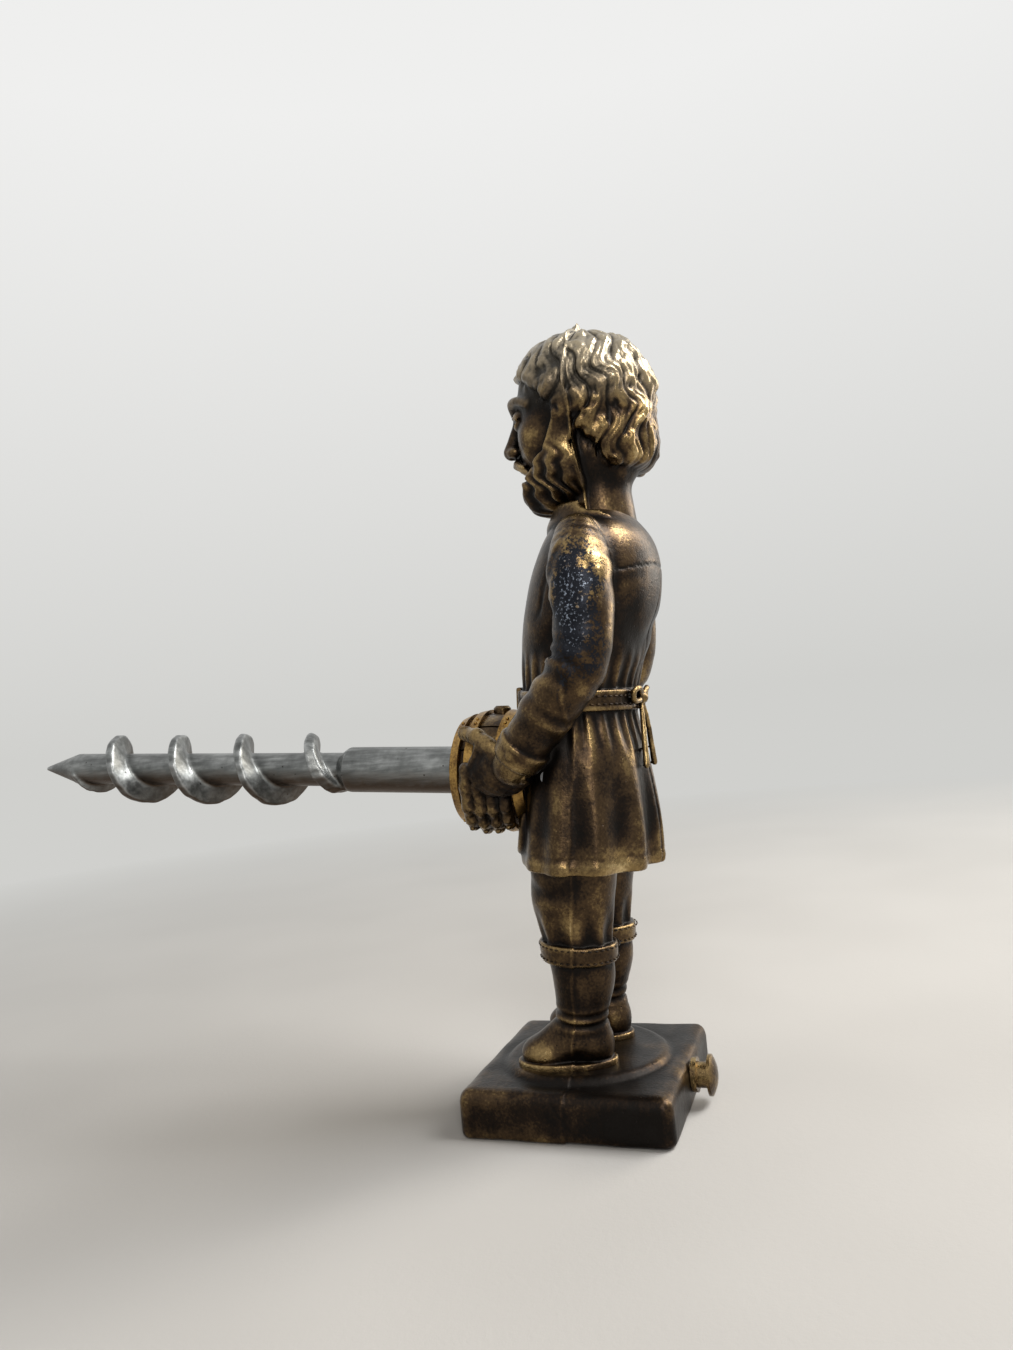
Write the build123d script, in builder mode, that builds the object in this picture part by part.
"""A figural corkscrew: a cast cellarman on a square plinth is the handle, and the worm stands out of the
front of the small keg that the figure carries.

Frame: +Z up from the plinth's underside, origin at the middle of that underside, the worm points to -Y.
The figure leans back a little and the worm is square to it, so both are placed by across, forward and up
in one leaned frame. Lengths are millimetres.
"""

import os
from math import cos, radians, sin, sqrt

from build123d import *

os.makedirs("parts", exist_ok=True)

# Plinth, and the lean of the figure
plinth_side = 25.0
plinth_height = 5.5
plinth_corner_radius = 1.4
plinth_edge_radius = 1.0
plinth_foot_radius = 0.5
mound_radius = 9.8
mound_height = 0.8
mound_edge_radius = 0.5
lean_angle = 4.5
cut_overrun = 2.0
fit_clearance = 0.02

# Casting: the figure's main sizes
figure_height = 88.0
coat_width = 20.5
coat_depth = 15.6
hem_fold_count = 11
hem_fold_depth = 0.55
belt_width = 2.6
belt_stand = 0.45
belt_edge = 0.2
collar_width = 2.0
collar_stand = 0.6
collar_edge = 0.4
apron_thickness = 0.5
apron_width = 13.0
apron_corner_radius = 3.2
apron_hem_lift = 1.0

# Casting: boots and breeches
foot_length = 11.4
foot_width = 5.8
foot_height = 3.6
sole_thickness = 0.8
sole_margin = 0.3
toe_out_angle = 9.0
leg_width = 7.6
leg_depth = 8.2
leg_spacing = 9.4
boot_cuff_width = 2.2
boot_cuff_stand = 0.4
boot_cuff_edge = 0.2

# Casting: arms and hands
arm_diameter = 6.6
sleeve_cuff_width = 2.0
sleeve_cuff_stand = 0.35
shoulder_diameter = 7.6
hand_length = 9.0
hand_diameter = 4.8
hand_tilt = 8.0
finger_diameter = 1.7
finger_spacing = 1.55
finger_count = 4
finger_wrap_angle = 52.0
finger_seat_share = 0.35
fingertip_diameter = 1.8

# Casting: head
head_height = 20.0
head_width = 14.6
head_depth = 16.6
head_tilt = 5.0
hair_thickness = 1.3
hair_lock_count = 7
hair_lock_depth = 0.5
beard_thickness = 0.9
beard_lock_count = 13
beard_lock_depth = 0.25
socket_diameter = 3.2
socket_width = 4.2
eye_diameter = 2.6
nose_tip_diameter = 2.3
nostril_diameter = 1.6
brow_diameter = 1.9
brow_width = 5.2
brow_slope_share = 0.18
cheek_diameter = 4.6
moustache_diameter = 2.0
moustache_width = 4.6
moustache_slope_share = 0.35
lip_diameter = 1.2
lip_width = 3.4
ear_diameter = 2.8
ear_height = 4.8
neck_diameter = 8.4
gate_stub_diameter = 1.5
gate_stub_height = 1.0

# Worm: tang, shank, core and web
worm_height = 40.0
tang_diameter = 4.4
tang_depth = 4.0
shank_diameter = 6.0
shank_end_reach = 33.2
shoulder_taper_length = 1.2
core_diameter = 4.5
web_diameter = 10.0
web_pitch = 11.0
web_crest_width = 1.9
web_root_width = 3.1
web_root_sink = 0.4
web_crest_drop = 0.45
web_top_reach = 38.2
web_end_reach = 35.0
web_run_out_length = 7.2
web_start_reach = 77.8
web_lead_in_length = 2.6
tip_reach = 85.2
tip_cone_length = 6.6
tip_flat_radius = 0.25

# Keg, its hoops and its bung
keg_seat_reach = 5.4
keg_length = 9.8
keg_bilge_diameter = 14.6
keg_head_diameter = 12.2
stave_thickness = 1.0
chime_depth = 0.7
stave_count = 14
stave_groove_width = 0.3
stave_groove_depth = 0.25
hoop_width = 1.15
hoop_thickness = 0.4
keg_nest_clearance = 0.06
hoop_end_gap = 0.3
bilge_hoop_spacing = 3.9
bung_diameter = 2.2
bung_stand = 0.8
bung_depth = 1.5
bung_edge = 0.3

# Cross pin through the casting and the tang
cross_pin_diameter = 1.6
cross_pin_reach = 1.8
cross_pin_end_share = 0.43

# Headed stud at the back of the plinth
stud_level_share = 0.62
stud_shank_diameter = 2.4
stud_shank_depth = 8.0
stud_collar_diameter = 3.9
stud_collar_height = 0.6
stud_neck_diameter = 2.9
stud_neck_height = 1.3
stud_head_diameter = 4.6
stud_head_height = 1.0
stud_head_edge = 0.35

# The leaned frame that everything above the plinth shares
lean = radians(lean_angle)
across = Vector(1, 0, 0)
forward = Vector(0, -cos(lean), sin(lean))
up = Vector(0, sin(lean), cos(lean))
worm_origin = up * worm_height
worm_axis = Axis(worm_origin, forward)
worm_section = Plane(origin=worm_origin, x_dir=forward, z_dir=across)
points_per_flute = 4


def leaned(x, reach, height):
    """The point at a distance across, forward and up in the leaned frame."""
    return across * x + forward * reach + up * height


def level_plane(reach, height):
    """A plane square to the lean, with its x to the back and its y across."""
    return Plane(origin=leaned(0, reach, height), x_dir=-forward, z_dir=up)


def figure_level(height_share):
    """Height of a share of the figure above the plinth's underside."""
    return plinth_height + height_share * figure_height


def figure_point(x_share, reach_share, height_share):
    """A point in shares of the coat's width and depth and of the figure's height."""
    return leaned(x_share * coat_width, reach_share * coat_depth, figure_level(height_share))


def ball(centre, diameter):
    """A ball at a place."""
    with BuildPart() as round_form:
        Sphere(diameter / 2)
    return Location(centre) * round_form.part


def spheroid(centre, axis, diameter, length):
    """A ball drawn out along an axis."""
    with BuildPart() as drawn_form:
        Sphere(diameter / 2)
        scale(by=(1, 1, length / diameter))
    return Plane(origin=centre, z_dir=axis) * drawn_form.part


def elliptic_loft(planes, half_sizes):
    """A form through ellipses, one on each plane, with half sizes along the plane's x and y."""
    with BuildPart() as form:
        for plane, (half_x, half_y) in zip(planes, half_sizes):
            with BuildSketch(plane):
                Ellipse(half_x, half_y)
        loft()
    return form.part


def fluted_loft(planes, half_sizes, flute_depths, flute_count, near_share, far_share):
    """A form through ellipses that swell in and out all round: by one share of the depth on the side that
    the planes' x points to, and by the other on the far side."""
    with BuildPart() as form:
        for plane, (half_x, half_y), flute_depth in zip(planes, half_sizes, flute_depths):
            outline = []
            for index in range(flute_count * points_per_flute):
                turn = radians(360 * index / (flute_count * points_per_flute))
                strength_share = (near_share * (1 + cos(turn)) + far_share * (1 - cos(turn))) / 2
                swell = strength_share * flute_depth * cos(turn * flute_count)
                outline.append(((half_x + swell) * cos(turn), (half_y + swell) * sin(turn)))
            with BuildSketch(plane):
                with BuildLine():
                    Spline(*outline, periodic=True)
                make_face()
        loft()
    return form.part


def limb_loft(points, half_sizes):
    """A limb through points, with its sections square to its run."""
    planes = []
    for index, point in enumerate(points):
        run = points[min(index + 1, len(points) - 1)] - points[max(index - 1, 0)]
        planes.append(Plane(origin=point, x_dir=across, z_dir=run))
    return elliptic_loft(planes, half_sizes)


# Plinth with its low round mound
with BuildPart() as plinth:
    with BuildSketch():
        RectangleRounded(plinth_side, plinth_side, plinth_corner_radius)
    extrude(amount=plinth_height)
    fillet(plinth.faces().sort_by(Axis.Z)[-1].edges(), plinth_edge_radius)
    fillet(plinth.faces().sort_by(Axis.Z)[0].edges(), plinth_foot_radius)
    with BuildSketch(Plane.XY.offset(plinth_height)):
        Circle(mound_radius)
    extrude(amount=mound_height)
    fillet(plinth.faces().sort_by(Axis.Z)[-1].edges(), mound_edge_radius)

# Leg of one side, from inside the boot to inside the coat:
# shares of leg width and depth, of leg depth forward, and of figure height
leg_station_shares = (
    (0.34, 0.37, 0.02, 0.035),
    (0.35, 0.37, -0.04, 0.075),
    (0.43, 0.45, -0.08, 0.120),
    (0.46, 0.48, -0.04, 0.155),
    (0.49, 0.50, 0.00, 0.180),
    (0.57, 0.58, 0.03, 0.215),
    (0.60, 0.63, 0.03, 0.260),
    (0.60, 0.66, 0.00, 0.310),
    (0.50, 0.56, -0.02, 0.360),
)
boot_cuff_level_share = 0.148

leg_form = elliptic_loft(
    [level_plane(reach * leg_depth, figure_level(level)) for _, _, reach, level in leg_station_shares],
    [(depth * leg_depth, width * leg_width) for width, depth, _, _ in leg_station_shares],
)
with BuildPart() as leg:
    add(leg_form)
    with BuildSketch(level_plane(0, figure_level(boot_cuff_level_share))):
        Ellipse(leg_depth / 2 + boot_cuff_stand, leg_width / 2 + boot_cuff_stand)
    extrude(amount=boot_cuff_width)
    chamfer(leg.edges().filter_by(GeomType.ELLIPSE).group_by(Axis.Z)[-1], boot_cuff_edge)

# Foot of the boot: shares of foot width and length, of foot length forward, and of foot height
foot_station_shares = (
    (0.50, 0.50, 0.13, 0.00),
    (0.50, 0.49, 0.13, 0.30),
    (0.45, 0.41, 0.10, 0.65),
    (0.35, 0.25, 0.02, 1.00),
)
mound_top = plinth_height + mound_height

ground = Plane(origin=(0, 0, plinth_height), x_dir=(0, 1, 0), z_dir=(0, 0, 1))

with BuildPart() as foot:
    with BuildSketch(ground):
        with Locations((-foot_station_shares[0][2] * foot_length, 0)):
            Ellipse(foot_length / 2 + sole_margin, foot_width / 2 + sole_margin)
    extrude(amount=mound_height + sole_thickness)
    for width, length, reach, level in foot_station_shares:
        with BuildSketch(ground.offset(mound_height + level * foot_height)):
            with Locations((-reach * foot_length, 0)):
                Ellipse(length * foot_length, width * foot_width)
    loft()

# Coat: shares of coat width and depth, of coat depth forward, and of figure height, with the share of
# the hem's folds. The skirt falls in folds that fade towards the belt and towards the apron in front.
coat_station_shares = (
    (0.545, 0.530, -0.06, 0.268, 1.0),
    (0.510, 0.515, -0.06, 0.330, 0.7),
    (0.465, 0.475, -0.04, 0.410, 0.3),
    (0.415, 0.425, 0.00, 0.480, 0.0),
    (0.440, 0.465, -0.03, 0.540, 0.0),
    (0.490, 0.510, -0.10, 0.605, 0.0),
    (0.500, 0.500, -0.16, 0.655, 0.0),
    (0.430, 0.420, -0.185, 0.705, 0.0),
    (0.225, 0.270, -0.16, 0.745, 0.0),
)
skirt_station_shares = coat_station_shares[:4]
belt_shares = (0.430, 0.440, 0.00, 0.475)
collar_shares = (0.25, 0.31, -0.17, 0.730)


def coat_planes(shares):
    """The level planes of the coat's sections."""
    return [level_plane(reach * coat_depth, figure_level(level)) for _, _, reach, level, *_ in shares]


def coat_half_sizes(shares, stand=0.0):
    """Half depth and half width of the coat's sections, standing off the cloth."""
    return [(depth * coat_depth + stand, width * coat_width + stand) for width, depth, *_ in shares]


coat = fluted_loft(
    coat_planes(coat_station_shares),
    coat_half_sizes(coat_station_shares),
    [fold_share * hem_fold_depth for *_, fold_share in coat_station_shares],
    hem_fold_count,
    near_share=1,
    far_share=0,
)

apron_cloth = elliptic_loft(
    coat_planes(skirt_station_shares), coat_half_sizes(skirt_station_shares, apron_thickness)
)
apron_top = figure_level(skirt_station_shares[-1][3])
apron_drop = apron_top - figure_level(skirt_station_shares[0][3]) - apron_hem_lift
with BuildPart() as apron:
    add(apron_cloth)
    with BuildSketch(Plane(origin=leaned(0, 0, apron_top), x_dir=across, z_dir=forward)):
        RectangleRounded(apron_width, apron_drop * 2, apron_corner_radius)
    extrude(amount=coat_depth, mode=Mode.INTERSECT)

with BuildPart() as belt:
    with BuildSketch(coat_planes([belt_shares])[0]):
        Ellipse(*coat_half_sizes([belt_shares], belt_stand)[0])
    extrude(amount=belt_width)
    chamfer(belt.edges().filter_by(GeomType.ELLIPSE), belt_edge)

with BuildPart() as collar:
    with BuildSketch(coat_planes([collar_shares])[0]):
        Ellipse(*coat_half_sizes([collar_shares], collar_stand)[0])
    extrude(amount=collar_width)
    chamfer(collar.edges().filter_by(GeomType.ELLIPSE), collar_edge)

# Arm of one side: shares of coat width across, coat depth forward and figure height, and the
# half width and half depth of each section as shares of the arm's diameter
arm_station_shares = (
    (0.400, -0.17, 0.700, 0.42, 0.46),
    (0.510, -0.21, 0.655, 0.56, 0.60),
    (0.560, -0.25, 0.590, 0.53, 0.56),
    (0.570, -0.19, 0.532, 0.51, 0.52),
    (0.550, 0.05, 0.478, 0.48, 0.48),
    (0.500, 0.28, 0.426, 0.42, 0.42),
    (0.465, 0.40, 0.400, 0.36, 0.36),
)
hand_centre_shares = (0.445, 0.56, 0.384)
finger_middle_share = 0.60
thumb_shares = ((0.45, 0.46, 0.410), (0.40, 0.62, 0.436), (0.34, 0.76, 0.444))

arm_points = [figure_point(*shares[:3]) for shares in arm_station_shares]
arm_half_sizes = [(width * arm_diameter, depth * arm_diameter) for *_, width, depth in arm_station_shares]
arm_form = limb_loft(arm_points, arm_half_sizes)

cuff_place = arm_points[-3]
cuff_run = (arm_points[-2] - cuff_place).normalized()
cuff_half_width, cuff_half_depth = arm_half_sizes[-3]
hand_run = forward * cos(radians(hand_tilt)) - up * sin(radians(hand_tilt))
thumb = limb_loft(
    [figure_point(*shares) for shares in thumb_shares],
    [(finger_diameter / 2, finger_diameter / 2)] * len(thumb_shares),
)
with BuildPart() as arm:
    add(arm_form)
    add(ball(arm_points[0], shoulder_diameter))
    with BuildSketch(Plane(origin=cuff_place, x_dir=across, z_dir=cuff_run)):
        Ellipse(cuff_half_width + sleeve_cuff_stand, cuff_half_depth + sleeve_cuff_stand)
    extrude(amount=sleeve_cuff_width)
    add(spheroid(figure_point(*hand_centre_shares), hand_run, hand_diameter, hand_length))
    add(thumb)

# Head: shares of head width and depth, of head depth forward, and of head height up from the chin,
# on planes that tip forward with the head
head_station_shares = (
    (0.17, 0.15, 0.200, 0.00),
    (0.30, 0.30, 0.120, 0.08),
    (0.40, 0.42, 0.050, 0.24),
    (0.47, 0.49, -0.005, 0.45),
    (0.50, 0.50, -0.020, 0.65),
    (0.45, 0.46, -0.035, 0.84),
    (0.29, 0.30, -0.045, 0.96),
    (0.10, 0.11, -0.050, 1.00),
)
head_place_shares = (0.0, -0.125, 0.7605)
neck_station_shares = ((0.56, 0.56, -0.19, 0.72), (0.50, 0.52, -0.15, 0.77), (0.50, 0.56, -0.12, 0.81))

# How proud the hair's locks stand at each station: the sign changes, so the rows of locks are staggered
hair_lock_shares = (0.0, 0.4, -0.9, 1.0, -1.0, 1.0, -0.6, 0.0)

# Edges on the head's side, each a curve and the corners that close it, in shares of head depth forward
# and of head height up
hairline_shares = ((0.62, 0.86), (0.40, 0.83), (0.23, 0.75), (0.17, 0.62), (0.09, 0.55), (0.04, 0.40),
                   (-0.12, 0.28), (-0.24, 0.10), (-0.28, -0.30))
hairline_corner_shares = ((-0.90, -0.30), (-0.90, 1.30), (0.62, 1.30))
beard_line_shares = ((0.03, 0.56), (0.09, 0.43), (0.20, 0.34), (0.42, 0.31), (0.90, 0.31))
beard_corner_shares = ((0.90, -0.40), (-0.10, -0.40), (-0.10, 0.20), (-0.03, 0.56))
mouth_window_shares = (0.15, 0.05, 0.235)

# Places on the head: shares of its width across, its depth forward and its height up
nose_station_shares = ((0.080, 0.09, 0.465, 0.40), (0.065, 0.10, 0.450, 0.50), (0.045, 0.06, 0.445, 0.60))
nose_tip_shares = (0.0, 0.55, 0.405)
nostril_shares = (0.075, 0.49, 0.395)
socket_shares = (0.20, 0.50, 0.555)
eye_shares = (0.20, 0.385, 0.555)
brow_shares = (0.19, 0.405, 0.655)
cheek_shares = (0.24, 0.265, 0.42)
moustache_shares = (0.14, 0.46, 0.315)
lip_shares = (0.0, 0.43, 0.235)
ear_shares = (0.49, -0.06, 0.48)

head_up = up.rotate(Axis.X, head_tilt)
head_forward = across.cross(head_up)
chin = figure_point(*head_place_shares)


def head_point(x_share, reach_share, level_share, side=1):
    """A point in shares of the head's width, depth and height, in the head's tipped frame."""
    return (
        chin
        + across * (side * x_share * head_width)
        + head_forward * (reach_share * head_depth)
        + head_up * (level_share * head_height)
    )


def head_planes(stand):
    """The planes of the head's sections, moved out with what stands off the skin."""
    planes = []
    for _, _, reach, level in head_station_shares:
        centre = head_point(0, reach, level) + head_up * (stand * (2 * level - 1))
        planes.append(Plane(origin=centre, x_dir=head_forward, z_dir=head_up))
    return planes


def head_half_sizes(stand):
    """Half depth and half width of the head's sections, standing off the skin."""
    return [
        (depth * head_depth + stand, width * head_width + stand) for width, depth, _, _ in head_station_shares
    ]


def side_prism(edge_shares, corner_shares):
    """A prism right across the head, through a curved edge and the corners that close it."""
    side_view = Plane(origin=chin, x_dir=head_forward, z_dir=-across)
    edge = [side_view.to_local_coords(head_point(0, reach, level)) for reach, level in edge_shares]
    corners = [side_view.to_local_coords(head_point(0, reach, level)) for reach, level in corner_shares]
    with BuildPart() as prism:
        with BuildSketch(side_view):
            with BuildLine():
                Spline(*edge)
                Polyline(edge[-1], *corners, edge[0])
            make_face()
        extrude(amount=head_width, both=True)
    return prism.part


with BuildPart() as face:
    add(elliptic_loft(head_planes(0), head_half_sizes(0)))
    for side in (-1, 1):
        socket = spheroid(head_point(*socket_shares, side), across, socket_diameter, socket_width)
        add(socket, mode=Mode.SUBTRACT)

hair_form = fluted_loft(
    head_planes(hair_thickness),
    head_half_sizes(hair_thickness),
    [share * hair_lock_depth for share in hair_lock_shares],
    hair_lock_count,
    near_share=0.6,
    far_share=1,
)
with BuildPart() as hair:
    add(hair_form)
    add(side_prism(hairline_shares, hairline_corner_shares), mode=Mode.INTERSECT)

beard_form = fluted_loft(
    head_planes(beard_thickness),
    head_half_sizes(beard_thickness),
    [beard_lock_depth] * len(head_station_shares),
    beard_lock_count,
    near_share=1,
    far_share=0,
)
mouth_half_width, mouth_half_height, mouth_level = mouth_window_shares
with BuildPart() as beard:
    add(beard_form)
    add(side_prism(beard_line_shares, beard_corner_shares), mode=Mode.INTERSECT)
    with BuildSketch(Plane(origin=head_point(0, 0, mouth_level), x_dir=across, z_dir=head_forward)):
        Ellipse(mouth_half_width * head_width, mouth_half_height * head_height)
    extrude(amount=head_depth, mode=Mode.SUBTRACT)

nose_planes = []
for _, _, reach, level in nose_station_shares:
    nose_planes.append(Plane(origin=head_point(0, reach, level), x_dir=across, z_dir=head_up))
nose_half_sizes = [(width * head_width, depth * head_depth) for width, depth, _, _ in nose_station_shares]

head_features = [
    face.part,
    hair.part,
    beard.part,
    elliptic_loft(nose_planes, nose_half_sizes),
    ball(head_point(*nose_tip_shares), nose_tip_diameter),
    spheroid(head_point(*lip_shares), across, lip_diameter, lip_width),
]
for side in (-1, 1):
    brow_run = across * side - head_up * brow_slope_share
    moustache_run = across * side - head_up * moustache_slope_share
    head_features += [
        ball(head_point(*eye_shares, side), eye_diameter),
        ball(head_point(*nostril_shares, side), nostril_diameter),
        spheroid(head_point(*brow_shares, side), brow_run, brow_diameter, brow_width),
        ball(head_point(*cheek_shares, side), cheek_diameter),
        spheroid(head_point(*moustache_shares, side), moustache_run, moustache_diameter, moustache_width),
        spheroid(head_point(*ear_shares, side), head_up, ear_diameter, ear_height),
    ]
neck = elliptic_loft(
    coat_planes(neck_station_shares),
    [(depth * neck_diameter, width * neck_diameter) for width, depth, _, _ in neck_station_shares],
)

# Keg: its barrel curve runs through the two heads and the bilge
keg_front_reach = keg_seat_reach + keg_length
keg_middle_reach = keg_seat_reach + keg_length / 2
barrel_rise = (keg_bilge_diameter - keg_head_diameter) / 2
barrel_curve_radius = ((keg_length / 2) ** 2 + barrel_rise**2) / (2 * barrel_rise)
head_recess_radius = keg_head_diameter / 2 - stave_thickness
stave_turn = 360 / stave_count


def barrel_radius(reach):
    """Outer radius of the staves at a distance forward."""
    run = reach - keg_middle_reach
    return keg_bilge_diameter / 2 - barrel_curve_radius + sqrt(barrel_curve_radius**2 - run**2)


def barrel_arc(start, end, stand=0.0):
    """The barrel's curve between two reaches, standing off the staves."""
    reaches = (start, (start + end) / 2, end)
    return ThreePointArc(*[(reach, barrel_radius(reach) + stand) for reach in reaches])


def strap_line(start, end, stand):
    """A straight strap's line, along the barrel's slope at its middle and standing off the staves."""
    middle = (start + end) / 2
    centre_line_drop = barrel_radius(middle) + barrel_curve_radius - keg_bilge_diameter / 2
    slope = (keg_middle_reach - middle) / centre_line_drop
    ends = [(reach, barrel_radius(middle) + stand + slope * (reach - middle)) for reach in (start, end)]
    return Line(*ends)


def turned_section(angle):
    """The section plane of the worm's axis, turned about that axis."""
    return Plane(origin=worm_origin, x_dir=forward, z_dir=across.rotate(Axis((0, 0, 0), forward), angle))


with BuildPart() as keg_body:
    with BuildSketch(worm_section):
        with BuildLine():
            barrel_arc(keg_seat_reach, keg_front_reach)
            Polyline(
                (keg_front_reach, keg_head_diameter / 2),
                (keg_front_reach, head_recess_radius),
                (keg_front_reach - chime_depth, head_recess_radius),
                (keg_front_reach - chime_depth, shank_diameter / 2 + fit_clearance),
                (keg_seat_reach, shank_diameter / 2 + fit_clearance),
                (keg_seat_reach, keg_head_diameter / 2),
            )
        make_face()
    revolve(axis=worm_axis)
    with BuildSketch(*[turned_section((index + 0.5) * stave_turn) for index in range(stave_count)]):
        with BuildLine():
            barrel_arc(keg_seat_reach, keg_front_reach, -stave_groove_depth)
            Polyline(
                (keg_front_reach, keg_head_diameter / 2 - stave_groove_depth),
                (keg_front_reach, keg_bilge_diameter / 2 + cut_overrun),
                (keg_seat_reach, keg_bilge_diameter / 2 + cut_overrun),
                (keg_seat_reach, keg_head_diameter / 2 - stave_groove_depth),
            )
        make_face()
    extrude(amount=stave_groove_width / 2, both=True, mode=Mode.SUBTRACT)
    bung_seat = leaned(0, keg_middle_reach, worm_height + keg_bilge_diameter / 2 - bung_depth)
    with BuildSketch(Plane(origin=bung_seat, x_dir=across, z_dir=up)):
        Circle(bung_diameter / 2 + fit_clearance)
    extrude(amount=bung_depth + cut_overrun, mode=Mode.SUBTRACT)
keg_body.part.label = "keg_body"
export_step(keg_body.part, "parts/keg_body.step")

with BuildPart() as keg_bung:
    with BuildSketch(Plane(origin=bung_seat, x_dir=across, z_dir=up)):
        Circle(bung_diameter / 2)
    extrude(amount=bung_depth + bung_stand)
    chamfer(keg_bung.faces().sort_by(Axis.Z)[-1].edges(), bung_edge)
keg_bung.part.label = "keg_bung"
export_step(keg_bung.part, "parts/keg_bung.step")

# Hoops: one node each, driven on over the staves
hoop_starts = {
    "rear_chime_hoop": keg_seat_reach + hoop_end_gap,
    "rear_bilge_hoop": keg_middle_reach - (bilge_hoop_spacing + hoop_width) / 2,
    "front_bilge_hoop": keg_middle_reach + (bilge_hoop_spacing - hoop_width) / 2,
    "front_chime_hoop": keg_front_reach - hoop_end_gap - hoop_width,
}
for name, start in hoop_starts.items():
    end = start + hoop_width
    with BuildPart() as hoop:
        with BuildSketch(worm_section):
            with BuildLine():
                inner = strap_line(start, end, fit_clearance)
                outer = strap_line(start, end, hoop_thickness)
                Line(inner @ 0, outer @ 0)
                Line(inner @ 1, outer @ 1)
            make_face()
        revolve(axis=worm_axis)
    hoop.part.label = name
    export_step(hoop.part, "parts/" + name + ".step")

# Fingers of one hand: they wrap down round the keg from its side
finger_first_reach = finger_middle_share * coat_depth - finger_spacing * (finger_count - 1) / 2
finger_stand = hoop_thickness + finger_diameter * finger_seat_share
with BuildPart() as fingers:
    with BuildSketch(Plane(origin=worm_origin, x_dir=forward, z_dir=up)):
        for index in range(finger_count):
            reach = finger_first_reach + index * finger_spacing
            with Locations((reach, barrel_radius(reach) + finger_stand)):
                Circle(finger_diameter / 2)
    revolve(axis=Axis(worm_origin, -forward), revolution_arc=finger_wrap_angle)
    fingertip_turn = Axis(worm_origin, -forward)
    for index in range(finger_count):
        reach = finger_first_reach + index * finger_spacing
        root = worm_origin + forward * reach + across * (barrel_radius(reach) + finger_stand)
        tip = Vertex(*root).rotate(fingertip_turn, finger_wrap_angle)
        add(ball(Vector(*tip), fingertip_diameter))

# Worm: tang, shank and core are turned as one, and the web winds round the core to the right.
# A cone at each end trims the web, so that it runs out into the core.
web_begin_reach = web_top_reach - web_pitch
web_run = web_start_reach - web_begin_reach + web_crest_width
web_radius = web_diameter / 2
core_radius = core_diameter / 2


def envelope_point(radius, foot_reach, length):
    """Where the trimming cone has a radius: from the core at its foot to the web after a length."""
    rise_share = (radius - core_radius) / (web_radius - core_radius)
    return (radius, foot_reach - web_begin_reach + length * rise_share)


with BuildPart() as web:
    with BuildLine():
        web_path = Helix(web_pitch, web_run, core_radius)
    with BuildSketch(Plane(origin=web_path @ 0, x_dir=(1, 0, 0), z_dir=web_path % 0)):
        with BuildLine():
            flank_top = web_radius - core_radius - web_crest_drop
            crest = ThreePointArc(
                (flank_top, -web_crest_width / 2),
                (web_radius - core_radius, 0),
                (flank_top, web_crest_width / 2),
            )
            Polyline(
                crest @ 1,
                (-web_root_sink, web_root_width / 2),
                (-web_root_sink, -web_root_width / 2),
                crest @ 0,
            )
        make_face()
    sweep(path=web_path, is_frenet=True)
    with BuildSketch(Plane.XZ):
        Polygon(
            envelope_point(0, web_end_reach, web_run_out_length),
            envelope_point(web_radius + cut_overrun, web_end_reach, web_run_out_length),
            envelope_point(web_radius + cut_overrun, web_start_reach, -web_lead_in_length),
            envelope_point(0, web_start_reach, -web_lead_in_length),
            align=None,
        )
    revolve(axis=Axis.Z, mode=Mode.INTERSECT)

web_place = Plane(origin=leaned(0, web_begin_reach, worm_height), x_dir=up, z_dir=forward)
with BuildPart() as worm:
    with BuildSketch(worm_section):
        Polygon(
            (-tang_depth, 0),
            (-tang_depth, tang_diameter / 2),
            (keg_seat_reach, tang_diameter / 2),
            (keg_seat_reach, shank_diameter / 2),
            (shank_end_reach - shoulder_taper_length, shank_diameter / 2),
            (shank_end_reach, core_radius),
            (tip_reach - tip_cone_length, core_radius),
            (tip_reach, tip_flat_radius),
            (tip_reach, 0),
            align=None,
        )
    revolve(axis=worm_axis)
    add(web_place * web.part)

# Cross pin: it locks the tang in the front half, and its ends lie just under the coat's sides
pin_half_length = cross_pin_end_share * coat_width
pin_centre = leaned(0, cross_pin_reach, worm_height)
with BuildPart() as cross_pin:
    with BuildSketch(Plane(origin=pin_centre, x_dir=forward, z_dir=across)):
        Circle(cross_pin_diameter / 2)
    extrude(amount=pin_half_length, both=True)
cross_pin.part.label = "cross_pin"
export_step(cross_pin.part, "parts/cross_pin.step")

with BuildPart(mode=Mode.PRIVATE) as pin_bore:
    with BuildSketch(Plane(origin=pin_centre, x_dir=forward, z_dir=across)):
        Circle(cross_pin_diameter / 2 + fit_clearance)
    extrude(amount=coat_width, both=True)

with BuildPart() as worm_bored:
    add(worm.part)
    add(pin_bore.part, mode=Mode.SUBTRACT)
worm_bored.part.label = "worm"
export_step(worm_bored.part, "parts/worm.step")

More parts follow.
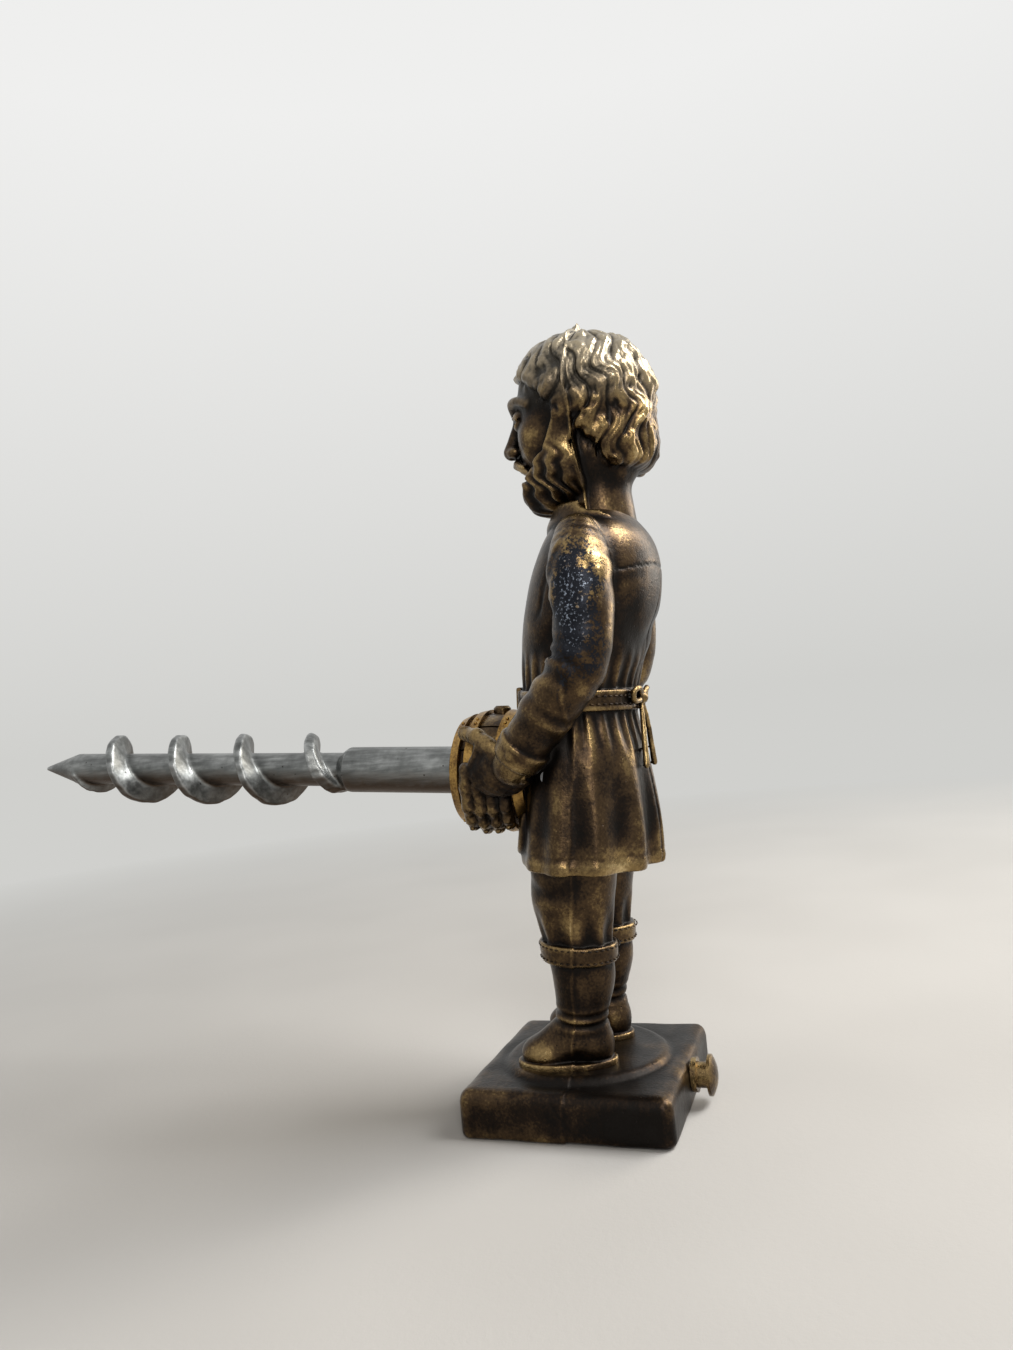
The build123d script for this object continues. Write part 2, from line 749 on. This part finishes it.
# Stud at the back of the plinth: a shank in the casting, a collar, a neck and a low domed head
stud_level = stud_level_share * plinth_height
stud_section = Plane(origin=(0, plinth_side / 2, stud_level), x_dir=(0, 1, 0), z_dir=(1, 0, 0))
stud_axis = Axis((0, plinth_side / 2, stud_level), (0, 1, 0))
head_start = stud_collar_height + stud_neck_height
head_end = head_start + stud_head_height
with BuildPart() as cap_lifter_stud:
    with BuildSketch(stud_section):
        with BuildLine():
            Polyline(
                (head_end, 0),
                (-stud_shank_depth, 0),
                (-stud_shank_depth, stud_shank_diameter / 2),
                (0, stud_shank_diameter / 2),
                (0, stud_collar_diameter / 2),
                (stud_collar_height, stud_collar_diameter / 2),
                (stud_collar_height, stud_neck_diameter / 2),
                (head_start, stud_neck_diameter / 2),
                (head_start, stud_head_diameter / 2),
                (head_start + stud_head_edge, stud_head_diameter / 2),
            )
            TangentArc((head_end, 0), (head_start + stud_head_edge, stud_head_diameter / 2), tangent=(0, 1))
        make_face()
    revolve(axis=stud_axis)
cap_lifter_stud.part.label = "cap_lifter_stud"
export_step(cap_lifter_stud.part, "parts/cap_lifter_stud.step")

# Casting: plinth and figure are one piece, cut for the keg, the tang, the pin and the stud
leg_place = Location((leg_spacing / 2, 0, 0))
foot_place = Location((leg_spacing / 2, mound_top * sin(lean), 0), (0, 0, toe_out_angle))
left_limbs = [leg_place * leg.part, foot_place * foot.part, arm.part, fingers.part]

with BuildPart() as figure_casting:
    add(plinth.part)
    for limb in left_limbs:
        add(limb)
        add(limb.mirror(Plane.YZ))
    add(coat)
    add(apron.part)
    add(belt.part)
    add(collar.part)
    add(neck)
    for feature in head_features:
        add(feature)
    gate_seat = head_point(0, head_station_shares[-1][2], 1)
    with BuildSketch(Plane(origin=gate_seat, x_dir=across, z_dir=up)):
        Circle(gate_stub_diameter / 2)
    extrude(amount=hair_thickness + gate_stub_height)
    with BuildSketch(worm_section):
        with BuildLine():
            barrel_arc(keg_seat_reach, keg_front_reach, hoop_thickness + keg_nest_clearance)
            seat_radius = keg_head_diameter / 2 + hoop_thickness + keg_nest_clearance
            Polyline(
                (keg_front_reach, seat_radius),
                (keg_front_reach, 0),
                (-tang_depth - fit_clearance, 0),
                (-tang_depth - fit_clearance, tang_diameter / 2 + fit_clearance),
                (keg_seat_reach, tang_diameter / 2 + fit_clearance),
                (keg_seat_reach, seat_radius),
            )
        make_face()
    revolve(axis=worm_axis, mode=Mode.SUBTRACT)
    add(pin_bore.part, mode=Mode.SUBTRACT)
    with BuildSketch(Plane(origin=stud_axis.position, x_dir=(1, 0, 0), z_dir=(0, -1, 0))):
        Circle(stud_shank_diameter / 2 + fit_clearance)
    extrude(amount=stud_shank_depth + fit_clearance, mode=Mode.SUBTRACT)

figure_casting.part.label = "figure_casting"
export_step(figure_casting.part, "parts/figure_casting.step")
